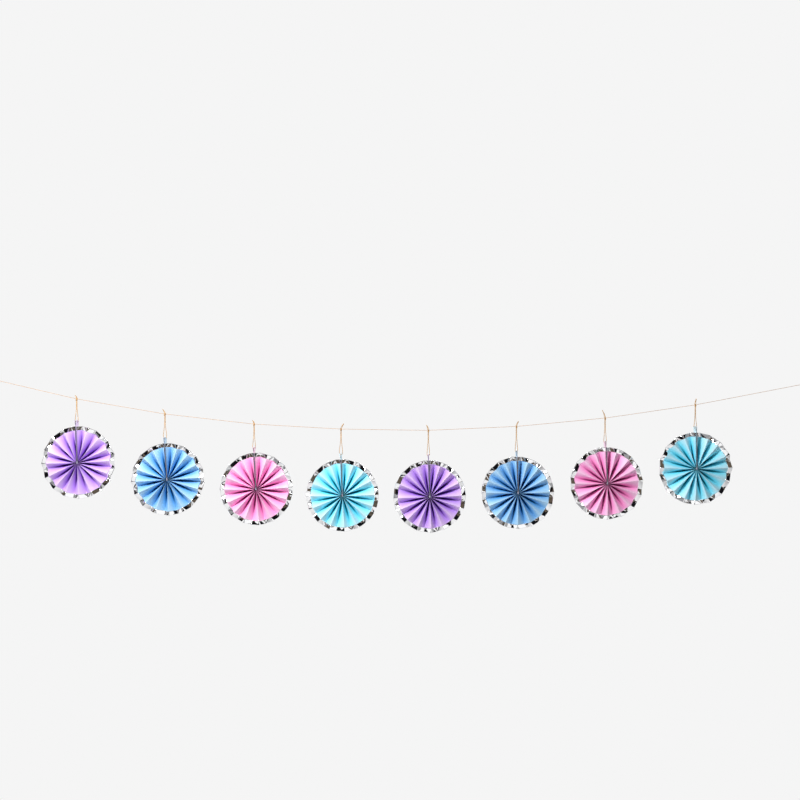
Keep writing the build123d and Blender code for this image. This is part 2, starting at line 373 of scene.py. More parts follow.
@dataclass(frozen=True)
class PaperFinish:
    """Dyed craft paper: fine fibres, worn pale on its outer folds, with painted shade between the pleats: a
    deeper dye colour, and a dark tone deep in the valleys, round the hub, beside the joint and where the two
    cards meet.

    A mesh tells it where it is: strip is the place along the strip and out from the hub, in millimetres;
    front is 1 on the front, -1 on the back and 0 on a card; meeting is 1 where the two cards meet.
    """

    shade: Shade
    pleat_width: float
    fold_length: float
    strip_length: float
    # Painted shade: the deeper dye colour, in the valleys, round the hub, beside the joint and a little all
    # over
    painted_shade_power: float = 0.64
    valley_share: float = 0.68
    ridge_share: float = 0.12
    hub_power: float = 6.0
    hub_share: float = 0.7
    rim_share: float = 0.08
    joint_shadow_width: float = 1.7
    joint_shadow_reach: float = 1.5
    # Painted shadow: a dark tone in a wedge up each valley, round the hub, beside the joint and where the
    # cards meet
    shadow_level: float = 0.17
    shadow_share: float = 0.95
    hub_shadow_power: float = 12.0
    wedge_power: float = 1.4
    wedge_reach: float = 1.25
    wedge_from: float = 1.02
    wedge_fade: float = 0.55
    joint_shadow_share: float = 0.9
    meeting_from: float = 0.38
    meeting_rise: float = 8.0
    # Pale paper, on the worn tips of the ridges, and on the cards as a painted highlight
    pale_share: float = 0.4
    worn_share: float = 0.44
    worn_from: float = 0.16
    worn_rise: float = 5.0
    tip_from: float = 0.984
    tip_fade: float = 0.012
    card_highlight_share: float = 0.40
    # Clouds, fibres and tooth
    clouds: Grain = Grain(70.0, 3.0)
    cloud_share: float = 0.16
    fibres: Grain = Grain(900.0, 5.0, 1.5)
    fibre_share: float = 0.14
    even_share: float = 0.06
    tooth: Grain = Grain(3200.0)
    tooth_share: float = 0.4
    roughness: float = 0.54
    roughness_range: float = 0.2
    relief: float = 0.00006
    relief_share: float = 0.5

    def material(self) -> bpy.types.Material:
        """The finish as a material.

        Returns:
            The material.
        """
        dye = DYES[self.shade]
        colour = (*dye.open, 1.0)
        pale = (*(part + (1 - part) * self.pale_share for part in dye.open), 1.0)
        painted_shade = (*dye.painted_shade, 1.0)
        shadow_tone = (*(self.shadow_level * part**2 for part in dye.painted_shade), 1.0)
        finish = Finish(self.shade.value, Specular_IOR_Level=0.25, Coat_Roughness=0.5)
        board = finish.board
        clouds = board.noise(finish.place, self.clouds) - 0.5
        fibres = board.noise(finish.place, self.fibres)
        tooth = board.noise(finish.place, self.tooth)
        run, distance, _ = board.parts(board.attribute("strip", "Vector"))
        front = board.attribute("front")
        on_sheet = front.maths("ABSOLUTE")

        ridge = (run * (math.pi / self.pleat_width)).maths("COSINE") * front
        inward = (1 - distance / self.fold_length).maths("MAXIMUM", 0.0)
        from_end = run.maths("MINIMUM", self.strip_length - run)
        # Painted shadow beside the joint, where the cards stand proud and shade the end panels.
        joint_shadow = (self.joint_shadow_reach - from_end / self.joint_shadow_width).clamped()
        # Painted shade: the deeper dye colour in the valleys and round the hub, where the light reaches
        # least.
        between = inward ** self.painted_shade_power * ((1 - ridge) * self.valley_share + self.ridge_share) \
            + inward ** self.hub_power * self.hub_share
        painted_shade_share = ((between + joint_shadow + self.rim_share) * on_sheet).maths("MINIMUM", 1.0)

        speckle = (fibres - 0.5) * self.fibre_share
        mottled = board.mixed(clouds * self.cloud_share + speckle + self.even_share, colour, pale)
        # Painted shadow: the dark tone, in a wedge up each valley, round the hub and beside the joint.
        shadowed = board.mixed(self._shadow(ridge, inward, joint_shadow) * self.shadow_share, painted_shade, shadow_tone)
        # The dye with its painted shade and painted shadow mixed in.
        dyed = board.mixed(painted_shade_share, mottled, shadowed)
        # Paler on the worn tips of the ridges, and a painted highlight on the cards.
        wear_and_highlight = self._worn(ridge, inward) * fibres * self.worn_share + (1 - on_sheet) * self.card_highlight_share
        # Painted shadow: a dark line where the two cards meet, for the gap between them.
        line = (board.attribute("meeting") - self.meeting_from) * self.meeting_rise
        paper = board.mixed(wear_and_highlight, dyed, pale)
        finish.feed("Base Color", board.mixed(line.clamped(high=self.shadow_share), paper, shadow_tone))
        finish.feed("Roughness", (fibres - 0.5) * self.roughness_range + self.roughness)
        finish.feed("Coat Weight", 1 - painted_shade_share)
        height = fibres * (1 - self.tooth_share) + tooth * self.tooth_share
        finish.bump(height, self.relief, self.relief_share)
        return finish.material

    def _shadow(self, ridge: Wire, inward: Wire, joint_shadow: Wire) -> Wire:
        """How much painted shadow the paper takes, up to 1 deep between the pleats.

        Args:
            ridge: 1 on a ridge and -1 in a valley, as the face at hand is seen.
            inward: from 0 at the rim to 1 at the hub.
            joint_shadow: the painted shadow beside the joint, from 0 to 1.

        Returns:
            The share of painted shadow.
        """
        reach = inward ** self.wedge_power * self.wedge_reach
        wedge = ((reach - ridge - self.wedge_from) / self.wedge_fade).clamped()
        deep = wedge + inward ** self.hub_shadow_power + joint_shadow * self.joint_shadow_share
        return deep.maths("MINIMUM", 1.0)

    def _worn(self, ridge: Wire, inward: Wire) -> Wire:
        """How worn a ridge is: 1 along its tip, out towards the rim."""
        tip = ((ridge - self.tip_from) / self.tip_fade).clamped()
        return tip * ((1 - inward - self.worn_from) * self.worn_rise).clamped()


@dataclass(frozen=True)
class FoilFinish:
    """Mirror foil, slightly dented and crinkled where it is glued down."""

    colour: Colour = (0.93, 0.93, 0.94)
    dents: Grain = Grain(38.0, 1.0)
    dent_share: float = 0.93
    crinkles: Grain = Grain(420.0, 3.0, 0.8)
    smears: Grain = Grain(105.0, 4.0)
    roughness: float = 0.02
    roughness_range: float = 0.08
    relief: float = 0.0006
    relief_share: float = 0.5

    def material(self) -> bpy.types.Material:
        """The finish as a material.

        Returns:
            The material.
        """
        finish = Finish("silver_foil", Base_Color=(*self.colour, 1.0), Metallic=1.0)
        board = finish.board
        dents = board.noise(finish.place, self.dents)
        crinkles = board.noise(finish.place, self.crinkles)
        smears = board.noise(finish.place, self.smears)
        finish.feed("Roughness", smears * self.roughness_range + self.roughness)
        height = dents * self.dent_share + crinkles * (1 - self.dent_share)
        finish.bump(height, self.relief, self.relief_share)
        return finish.material


@dataclass(frozen=True)
class BoardFinish:
    """Bare board: its face or its cut edge, with its plies, and greyer at its foot in the hub.

    A card's mesh carries height, in millimetres above its foot.
    """

    name: str
    colour: Colour
    pale: Colour
    foot: Colour = (0.36, 0.36, 0.46)
    foot_height: float = 5.5
    foot_rise: float = 3.0
    ply_stretch: tuple[float, float, float] = (9.0, 1.0, 0.6)
    plies: Grain = Grain(420.0, 3.0)
    ply_from: float = 0.35
    ply_contrast: float = 1.6
    ply_share: float = 0.5
    fibres: Grain = Grain(1500.0, 4.0)
    roughness: float = 0.7
    roughness_range: float = 0.2
    relief: float = 0.00012
    relief_share: float = 0.6

    def material(self) -> bpy.types.Material:
        """The finish as a material.

        Returns:
            The material.
        """
        finish = Finish(self.name, Specular_IOR_Level=0.2)
        board = finish.board
        stretch = {"Vector": finish.place, "Scale": self.ply_stretch}
        plies = board.noise(board.wire("ShaderNodeMapping", None, stretch), self.plies)
        fibres = board.noise(finish.place, self.fibres)
        tone = (plies - self.ply_from) * self.ply_contrast
        laid = board.mixed(tone, (*self.colour, 1.0), (*self.pale, 1.0))
        near = ((1 - board.attribute("height") / self.foot_height) * self.foot_rise).clamped()
        finish.feed("Base Color", board.mixed(near, laid, (*self.foot, 1.0)))
        finish.feed("Roughness", fibres * self.roughness_range + self.roughness)
        height = plies * self.ply_share + fibres * (1 - self.ply_share)
        finish.bump(height, self.relief, self.relief_share)
        return finish.material


@dataclass(frozen=True)
class TwineFinish:
    """Laid plant-fibre twine: golden, with paler and darker fibres along it."""

    name: str
    colour: Colour
    pale: Colour
    dark: Colour
    fibres: Grain = Grain(1600.0, 4.0, 2.0)
    fibre_share: float = 0.7
    runs: Grain = Grain(266.6667)
    places: tuple[float, float, float] = (0.30, 0.50, 0.72)
    roughness: float = 0.68
    roughness_range: float = 0.2
    relief: float = 0.0001
    relief_share: float = 0.8

    def material(self) -> bpy.types.Material:
        """The finish as a material.

        Returns:
            The material.
        """
        finish = Finish(self.name, Specular_IOR_Level=0.3)
        board = finish.board
        fibres = board.noise(finish.place, self.fibres)
        runs = board.noise(finish.place, self.runs)
        stops = list(zip(self.places, (self.dark, self.colour, self.pale)))
        mixture = fibres * self.fibre_share + runs * (1 - self.fibre_share)
        tone = board.wire("ShaderNodeValToRGB", {"stops": stops}, {"Fac": mixture}, "Color")
        finish.feed("Base Color", tone)
        finish.feed("Roughness", fibres * self.roughness_range + self.roughness)
        finish.bump(fibres, self.relief, self.relief_share)
        return finish.material


@dataclass
class PleatRule:
    """The rule that every pleated sheet follows, with its sizes in millimetres."""

    fan_radius: float = 75.0
    hub_radius: float = 1.999
    pleat_count: int = 16
    rim_depth: float = 8.4
    paper_thickness: float = 0.3
    card_thickness: float = 1.0
    end_panel_share: float = 0.7
    foil_width: float = 9.0
    foil_thickness: float = 0.1
    steps_across: int = 6
    bare_rows: int = 20
    foil_rows: int = 10
    crowding: float = 0.93
    fold_round: float = 0.12
    fold_edge: float = 40.0
    warp: Grain = Grain(0.10, 1.0)
    warp_step: float = 7.3
    bow_stream: int = 100
    twist_stream: int = 200

    @property
    def panels(self) -> int:
        """How many panels the sheet has."""
        return 2 * self.pleat_count

    @property
    def fold_length(self) -> float:
        """From the hub end of a fold to its rim end."""
        return self.fan_radius - self.hub_radius

    @property
    def bare_length(self) -> float:
        """The part of a fold that the foil leaves bare."""
        return self.fold_length - self.foil_width

    @property
    def share_total(self) -> float:
        """The widths of all panels together, against one full panel."""
        return self.panels - 2 + 2 * self.end_panel_share

    @property
    def pleat_width(self) -> float:
        """The width of one panel, from fold to fold.

        Returns:
            The width, in millimetres.
        """
        turn = math.tau * (1 - 2 * math.asin(self.card_thickness / self.fan_radius) / math.tau)
        pitch = 2 * self.fan_radius * math.sin(turn / self.share_total / 2)
        return math.hypot(pitch, self.rim_depth)

    def tree(self) -> GeometryBoard:
        """The geometry nodes that fold a grid into a ring of pleats.

        Returns:
            The tree. It is in millimetres, in the fan's own plane.
        """
        board = GeometryBoard("Pleats", {
            "First Row": 0, "Rows": self.bare_rows + self.foil_rows + 1, "Lap": 0.0, "Seed": 1,
            "Wander": 0.037, "Crown": 0.45, "Bow": 0.3, "Warp": 0.12,
        })
        columns = self.panels * self.steps_across + 1
        rows = board.input("Rows")
        grid = board.wire("GeometryNodeMeshGrid", None, {
            "Size X": 1.0, "Size Y": 1.0, "Vertices X": columns, "Vertices Y": rows,
        })
        x, y, _ = board.parts(board.wire("GeometryNodeInputPosition"))
        column = ((x + 0.5) * (columns - 1) + 0.5).maths("FLOOR")
        row = ((y + 0.5) * (rows - 1) + 0.5).maths("FLOOR") + board.input("First Row")
        fold = ((column + 0.5) / self.steps_across).maths("FLOOR")
        step = (column - fold * self.steps_across) / self.steps_across
        across = step - (step * math.tau).maths("SINE") * (self.crowding / math.tau)

        past = (row - self.bare_rows).maths("MAXIMUM", 0.0) / self.foil_rows
        distance = (row / self.bare_rows).maths("MINIMUM", 1.0) * self.bare_length \
            + past * (board.input("Lap") + self.foil_width)
        reach = distance / self.fold_length
        places = [self._place(board, fold + offset, reach) for offset in (-1, 0, 1, 2)]
        here = self._height(board, fold, places[0], places[2])
        there = self._height(board, fold + 1, places[1], places[3])

        flat = 1 - across
        bend = across * flat * 4
        seed = board.input("Seed")
        bow, twist = (board.random(-1.0, 1.0, fold + stream, seed) * board.input("Bow")
                      for stream in (self.bow_stream, self.twist_stream))
        bulge = bend * (board.input("Crown") * reach.maths("SQRT") + bow * reach
                        + twist * (reach * reach - 0.5) * reach)
        plan = [one * flat + other * across for one, other in zip(places[1], places[2])]
        warp = board.noise(board.vector(*plan, seed * self.warp_step), self.warp) - 0.5
        waves = warp * board.input("Warp") * reach * bend.maths("SQRT")
        edge = (step * (1 - step) * -self.fold_edge + 1).maths("MAXIMUM", 0.0)
        tip = self._side(board, fold) * edge * -self.fold_round
        height = here * flat + there * across + bulge + waves + tip
        where = board.vector(*plan, height)
        strip = board.vector((fold + across) * self.pleat_width, distance)
        marked = board.wire("GeometryNodeStoreNamedAttribute",
                            {"data_type": "FLOAT_VECTOR", "domain": "POINT"},
                            {"Geometry": grid, "Name": "strip", "Value": strip})
        folded = board.wire("GeometryNodeSetPosition", None, {"Geometry": marked, "Position": where})
        smooth = board.wire("GeometryNodeSetShadeSmooth", None, {"Geometry": folded, "Shade Smooth": True})
        board.close(smooth)
        return board

    def _side(self, board: GeometryBoard, fold: Wire) -> Wire:
        """1 at a ridge and -1 at a valley."""
        return 1 - fold.maths("FLOORED_MODULO", 2.0) * 2

    def _place(self, board: GeometryBoard, fold: Wire, reach: Wire) -> tuple[Wire, Wire]:
        """Where a fold lies in plan, at a share of the way from the hub to the rim.

        Args:
            board: what the nodes are written on.
            fold: the fold's number, from 0 at one end of the strip.
            reach: the share of the way.

        Returns:
            Its places to the right and up, in millimetres.
        """
        inner = (fold - 1).clamped(high=self.panels - 2.0)
        ends = fold.maths("MINIMUM", 1.0) + (fold - (self.panels - 1)).maths("MAXIMUM", 0.0)
        share = (inner + ends * self.end_panel_share) / self.share_total
        free = fold.maths("GREATER_THAN", 0.5) * fold.maths("LESS_THAN", self.panels - 0.5)
        wander = board.random(-1.0, 1.0, fold, board.input("Seed")) * board.input("Wander") * free
        parts = []
        for radius, loose in ((self.hub_radius, 0.0), (self.fan_radius, 1.0)):
            joint = math.asin(self.card_thickness / radius)
            angle = share * (math.tau - 2 * joint) + joint + wander * loose
            parts.append((angle.maths("SINE") * radius, angle.maths("COSINE") * radius))
        (hub_x, hub_y), (rim_x, rim_y) = parts
        return hub_x + (rim_x - hub_x) * reach, hub_y + (rim_y - hub_y) * reach

    def _height(self, board: GeometryBoard, fold: Wire, before: tuple[Wire, Wire],
                after: tuple[Wire, Wire]) -> Wire:
        """How far a fold stands forward: its panels keep their width, so they stand up as they narrow.

        Args:
            board: what the nodes are written on.
            fold: the fold's number.
            before: where the fold before it lies.
            after: where the fold after it lies.

        Returns:
            Its height, in millimetres.
        """
        across = after[0] - before[0]
        down = after[1] - before[1]
        spacing = (across * across + down * down) / 4
        depth = (self.pleat_width ** 2 - spacing).maths("MAXIMUM", 1.0).maths("SQRT")
        return self._side(board, fold) * (depth - self.paper_thickness) / 2


@dataclass
class TwineRule:
    """The rule that twine and string follow: strands twisted round a route, with loose fibres."""

    strands: int = 2
    sides: int = 7
    steps_per_turn: int = 10
    fibre_rise: float = 0.7
    fibre_width_share: float = 0.07
    fibre_streams: tuple[int, int, int] = (11, 12, 13)
    size_stream: int = 14
    shortest_share: float = 0.35

    def tree(self) -> GeometryBoard:
        """The geometry nodes that twist strands round a curve, in metres.

        Returns:
            The tree.
        """
        board = GeometryBoard("Laid strands", {
            "Pitch": 0.0026, "Strand Radius": 0.0003, "Spread": 0.00025, "Fray": 0.0, "Fray Length": 0.003,
            "Fuzz": 0.0, "Fuzz Length": 0.0016, "Seed": 1,
        })
        pitch = board.input("Pitch")
        source = Wire(board, board.start.outputs["Geometry"])
        evened = board.wire("GeometryNodeResampleCurve", {"mode": "LENGTH"},
                            {"Curve": source, "Length": pitch / self.steps_per_turn})
        copies = board.node("GeometryNodeDuplicateElements", {"domain": "SPLINE"},
                            {"Geometry": evened, "Amount": self.strands})
        number = Wire(board, copies.outputs["Duplicate Index"])
        along = board.wire("GeometryNodeSplineParameter", None, None, "Length")
        full = board.wire("GeometryNodeSplineLength", None, None, "Length")
        end = along.maths("MINIMUM", full - along)
        loose = (1 - end / board.input("Fray Length")).maths("MAXIMUM", 0.0)
        angle = (along / pitch + number / self.strands) * math.tau
        normal = board.wire("GeometryNodeInputNormal")
        tangent = board.wire("GeometryNodeInputTangent")
        side = board.vectors("CROSS_PRODUCT", tangent, normal)
        round_it = board.vectors("ADD", board.scaled(normal, angle.maths("COSINE")),
                                 board.scaled(side, angle.maths("SINE")))
        offset = board.scaled(round_it, board.input("Spread") * (loose * board.input("Fray") + 1))
        twisted = board.wire("GeometryNodeSetPosition", None,
                             {"Geometry": Wire(board, copies.outputs["Geometry"]), "Offset": offset})
        profile = board.wire("GeometryNodeCurvePrimitiveCircle", None,
                             {"Resolution": self.sides, "Radius": board.input("Strand Radius")})
        strands = board.wire("GeometryNodeCurveToMesh", None,
                             {"Curve": twisted, "Profile Curve": profile, "Fill Caps": True})
        joined = board.node("GeometryNodeJoinGeometry")
        for part in (strands, self._fibres(board, strands)):
            board.tree.links.new(part.socket, joined.inputs[0])
        smooth = board.wire("GeometryNodeSetShadeSmooth", None,
                            {"Geometry": Wire(board, joined.outputs[0]), "Shade Smooth": True})
        board.close(smooth)
        return board

    def _fibres(self, board: GeometryBoard, strands: Wire) -> Wire:
        """Short loose fibres that stand off the strands.

        Args:
            board: what the nodes are written on.
            strands: the strands' surface.

        Returns:
            The fibres, as instances.
        """
        seed = board.input("Seed")
        points = board.node("GeometryNodeDistributePointsOnFaces", {"distribute_method": "RANDOM"},
                            {"Mesh": strands, "Density": board.input("Fuzz"), "Seed": seed})
        number = board.wire("GeometryNodeInputIndex")
        parts = [board.random(-1.0, 1.0, number, seed + stream) for stream in self.fibre_streams]
        outward = board.scaled(Wire(board, points.outputs["Normal"]), self.fibre_rise)
        lean = board.vectors("ADD", outward, board.vector(*parts))
        turned = board.wire("FunctionNodeAlignRotationToVector", {"axis": "Z"}, {"Vector": lean})
        length = board.input("Fuzz Length")
        line = board.wire("GeometryNodeCurvePrimitiveLine", None, {"End": board.vector(0.0, 0.0, length)})
        thin = board.wire("GeometryNodeCurvePrimitiveCircle", None,
                          {"Resolution": 3, "Radius": board.input("Strand Radius") * self.fibre_width_share})
        hair = board.wire("GeometryNodeCurveToMesh", None,
                          {"Curve": line, "Profile Curve": thin, "Fill Caps": True})
        size = board.random(self.shortest_share, 1.0, number, seed + self.size_stream)
        return board.wire("GeometryNodeInstanceOnPoints", None, {
            "Points": Wire(board, points.outputs["Points"]), "Instance": hair, "Rotation": turned,
            "Scale": board.vector(1.0, 1.0, size),
        })


def route_curve(name: str, routes: Sequence[Sequence[Vector]]) -> bpy.types.Object:
    """A curve of smooth lines, each drawn towards its points.

    Args:
        name: the curve's name.
        routes: the control points of each line, in metres.

    Returns:
        The curve object.
    """
    curve = bpy.data.curves.new(name, "CURVE")
    curve.dimensions = "3D"
    curve.resolution_u = 24
    for route in routes:
        spline = curve.splines.new("NURBS")
        spline.points.add(len(route) - 1)
        for control, place in zip(spline.points, route):
            control.co = (*place, 1.0)
        spline.order_u = 3
        spline.use_endpoint_u = True
    return linked(name, curve)


@dataclass
class Lay:
    """One kind of twine: its size in millimetres, its twist and its finish."""

    diameter: float
    pitch: float
    finish: bpy.types.Material
    tree: GeometryBoard
    slot: str
    fuzz: float
    strand_share: float = 0.62
    spread_share: float = 0.45
    fuzz_length_share: float = 1.4

    def mesh(self, name: str, routes: Sequence[Sequence[Vector]], seed: int, fray: float = 0.0,
             fuzz_share: float = 1.0) -> tuple[bpy.types.Mesh, list[Vector]]:
        """Twists the strands along some routes.

        Args:
            name: the piece's name.
            routes: the control points of each line, in metres.
            seed: for the loose fibres.
            fray: how far the strands open at the ends, against their spread.
            fuzz_share: how many loose fibres there are, against the usual.

        Returns:
            The mesh, and the points of the line that it follows.
        """
        host = route_curve(name, routes)
        line = mesh_of(host)
        path = [vertex.co.copy() for vertex in line.vertices]
        bpy.data.meshes.remove(line)
        strand = self.diameter / 2 * self.strand_share
        mesh = self.tree.run(
            host, self.finish, Pitch=self.pitch * MM, Strand_Radius=strand * MM,
            Spread=self.diameter / 2 * self.spread_share * MM, Fray=fray, Seed=seed,
            Fuzz=self.fuzz * fuzz_share / MM**2, Fuzz_Length=self.diameter * self.fuzz_length_share * MM,
        )
        return mesh, path

    def cord(self, name: str, route: Sequence[Vector], seed: int) -> bpy.types.Object:
        """A cord that stands for the CAD node of its name.

        Args:
            name: the cord's name.
            route: its control points, in metres.
            seed: for its loose fibres.

        Returns:
            The cord.
        """
        mesh, path = self.mesh(name, [route], seed)
        made = piece(f"{name}_twisted", mesh, self.slot, name)
        self.diameter * MM
        return made


@dataclass
class Seat:
    """A place on the garland with its own axes: along the string, and up."""

    origin: Vector
    along: Vector

    def point(self, x: float, y: float, z: float) -> Vector:
        """A point given along the string, towards the viewer and up, in millimetres, as metres."""
        up = Vector((-self.along.z, 0.0, self.along.x))
        return (self.origin + self.along * x + Vector((0.0, -y, 0.0)) + up * z) * MM


@dataclass
class Knot:
    """Twine wound round the string and pulled tight, with its two cut ends left standing."""

    name: str
    seat: Seat
    lay: Lay
    core: float
    wraps: int
    tails: Sequence[tuple[float, float]]
    seed: int
    waist: Optional[float] = None
    steps: int = 12
    pitch_share: float = 1.04
    waist_turns: float = 1.6
    waist_gap: float = 0.55
    waist_pitch_share: float = 0.9
    tail_curl_shares: tuple[tuple[float, float], ...] = ((0.35, 0.0), (0.7, 0.04), (1.0, 0.12))
    fray: float = 0.9
    fuzz_share: float = 1.5

    def _tail(self, root: Vector, lean: float, length: float, bend: float) -> list[Vector]:
        """A cut end that rises from a root and curls over slightly towards its tip.

        Args:
            root: where it leaves the knot, in metres.
            lean: its lean to the right of upright, in degrees.
            length: its length, in millimetres.
            bend: 1 where it curls to the right, and -1 to the left.

        Returns:
            Its control points, in metres, from the root on.
        """
        rise = Vector((math.sin(math.radians(lean)), 0.0, math.cos(math.radians(lean))))
        aside = Vector((rise.z, 0.0, -rise.x))
        return [root + (rise * share + aside * (bend * curl)) * (length * MM)
                for share, curl in self.tail_curl_shares]

    def routes(self) -> list[list[Vector]]:
        """The lines of twine in the knot: a winding with its cut ends, and a turn round the waist.

        Returns:
            The control points of each line, in metres.
        """
        radius = self.core + self.lay.diameter / 2
        pitch = self.lay.diameter * self.pitch_share
        half = pitch * self.wraps / 2
        turns = []
        for step in range(self.wraps * self.steps + 1):
            share = step / (self.wraps * self.steps)
            angle = math.tau * self.wraps * share
            turns.append(self.seat.point(-half + 2 * half * share, radius * math.sin(angle),
                                         radius * math.cos(angle)))
        (lean, length), *others = self.tails
        curl = math.copysign(1.0, lean)
        winding = list(reversed(self._tail(turns[0], lean, length, curl))) + turns
        if others:
            winding += self._tail(turns[-1], *others[0], curl)
        lines = [winding]
        if self.waist is not None:
            top, fall = -radius - self.waist_gap, self.lay.diameter * self.waist_pitch_share
            lines.append([
                self.seat.point(self.waist * math.cos(angle), self.waist * math.sin(angle),
                                top - fall * angle / math.tau)
                for angle in (math.tau * step / self.steps
                              for step in range(int(self.waist_turns * self.steps)))
            ])
        return lines

    def build(self) -> bpy.types.Object:
        """Makes the knot, which stands for the CAD node of its name."""
        mesh, _ = self.lay.mesh(self.name, self.routes(), self.seed, self.fray, self.fuzz_share)
        return piece(f"{self.name}_tied", mesh, self.lay.slot, self.name)


@dataclass
class EndCard:
    """One of the two stiff cards at the ends of a sheet, with its holed tab bent slightly outwards."""

    side: int
    splay: float
    rule: PleatRule
    tab_height: float = 12.8
    tab_width: float = 13.0
    tab_corner: float = 3.0
    hole_radius: float = 2.0
    hole_inset: float = 4.2
    foot_gap: float = 0.15
    step: float = 1.6
    hole_steps: int = 28

    def outline(self) -> list[tuple[float, float]]:
        """The card's outline, as places across the pleats and up, with points close enough to bend.

        Returns:
            The points in order, in millimetres.
        """
        depth = self.rule.pleat_width
        rim = self.rule.fan_radius
        top = rim + self.tab_height
        foot = -math.sqrt((self.rule.hub_radius - self.foot_gap) ** 2 - self.rule.card_thickness**2)
        right = [
            (depth / 2, foot), (depth / 2, rim), (self.tab_width / 2, rim + (depth - self.tab_width) / 2),
            (self.tab_width / 2, top - self.tab_corner), (self.tab_width / 2 - self.tab_corner, top),
        ]
        corners = right + [(-across, up) for across, up in reversed(right)]
        points = []
        for (x0, y0), (x1, y1) in zip(corners, corners[1:] + corners[:1]):
            count = max(1, round(math.hypot(x1 - x0, y1 - y0) / self.step)) if max(y0, y1) > rim else 1
            points += [(x0 + (x1 - x0) * k / count, y0 + (y1 - y0) * k / count) for k in range(count)]
        return points

    def mesh(self, name: str, *finishes: bpy.types.Material) -> bpy.types.Mesh:
        """The card in the fan's own plane, in millimetres.

        Args:
            name: the mesh's name.
            *finishes: for its outer face and the cut edge of its tab, the inner face that meets the other
                card, and its cut edge below the rim.

        Returns:
            The mesh.
        """
        work = bmesh.new()
        hole_height = self.rule.fan_radius + self.tab_height - self.hole_inset
        hole = [(self.hole_radius * math.cos(angle), hole_height + self.hole_radius * math.sin(angle))
                for angle in (math.tau * k / self.hole_steps for k in range(self.hole_steps))]
        for ring in (self.outline(), hole):
            corners = [work.verts.new((0.0, up, across)) for across, up in ring]
            for one, other in zip(corners, corners[1:] + corners[:1]):
                work.edges.new((one, other))
        bmesh.ops.triangle_fill(work, use_beauty=True, use_dissolve=False, edges=work.edges[:])
        thick = bmesh.ops.extrude_face_region(work, geom=work.faces[:])
        moved = [item for item in thick["geom"] if isinstance(item, bmesh.types.BMVert)]
        bmesh.ops.translate(work, verts=moved, vec=(self.side * self.rule.card_thickness, 0.0, 0.0))
        bmesh.ops.recalc_face_normals(work, faces=work.faces[:])
        # An extrusion adds its faces in no fixed order
        work.verts.index_update()
        ordered = sorted(work.faces, key=lambda part: sorted(corner.index for corner in part.verts))
        for number, part in enumerate(ordered):
            part.index = number
        work.faces.sort()
        for part in work.faces:
            outward = part.normal.x * self.side
            on_tab = part.calc_center_median().y > self.rule.fan_radius
            dyed = outward > 0.5 or (on_tab and outward > -0.5)
            part.material_index = 0 if dyed else 1 if outward < -0.5 else 2
        depths = [1.0 - abs(corner.co.x) / self.rule.card_thickness for corner in work.verts]
        foot = min(corner.co.y for corner in work.verts)
        heights = [corner.co.y - foot for corner in work.verts]
        for corner in work.verts:
            share = max(0.0, (corner.co.y - self.rule.fan_radius) / self.tab_height)
            corner.co.x += self.side * self.splay * share * share * (3 - 2 * share)
        made = bpy.data.meshes.new(name)
        work.to_mesh(made)
        work.free()
        for title, values in (("meeting", depths), ("height", heights)):
            made.attributes.new(title, "FLOAT", "POINT").data.foreach_set("value", values)
        for finish in finishes:
            made.materials.append(finish)
        return made


@dataclass
class Finishes:
    """Every material of the garland, made once."""

    rule: PleatRule

    def __post_init__(self) -> None:
        """Makes the materials."""
        sizes = (self.rule.pleat_width, self.rule.fold_length, self.rule.panels * self.rule.pleat_width)
        self.papers = {shade: PaperFinish(shade, *sizes).material() for shade in Shade}
        self.foil = FoilFinish().material()
        # The left card's cut edge is near black, a painted shadow for the crack where the two cards meet;
        # the right card's edge is plain grey board.
        self.board, self.dark_edge, self.grey_edge = (BoardFinish(*row).material() for row in (
            ("board_face", (0.66, 0.66, 0.68), (0.84, 0.84, 0.85)),
            ("shadow_board_edge", (0.010, 0.012, 0.030), (0.07, 0.07, 0.11)),
            ("grey_board_edge", (0.130, 0.125, 0.145), (0.33, 0.32, 0.35)),
        ))
        self.twine, self.string = (TwineFinish(*row).material() for row in (
            ("twine", (0.600, 0.330, 0.090), (0.850, 0.570, 0.230), (0.280, 0.115, 0.022)),
            ("string", (0.560, 0.300, 0.120), (0.800, 0.530, 0.280), (0.300, 0.130, 0.045)),
        ))


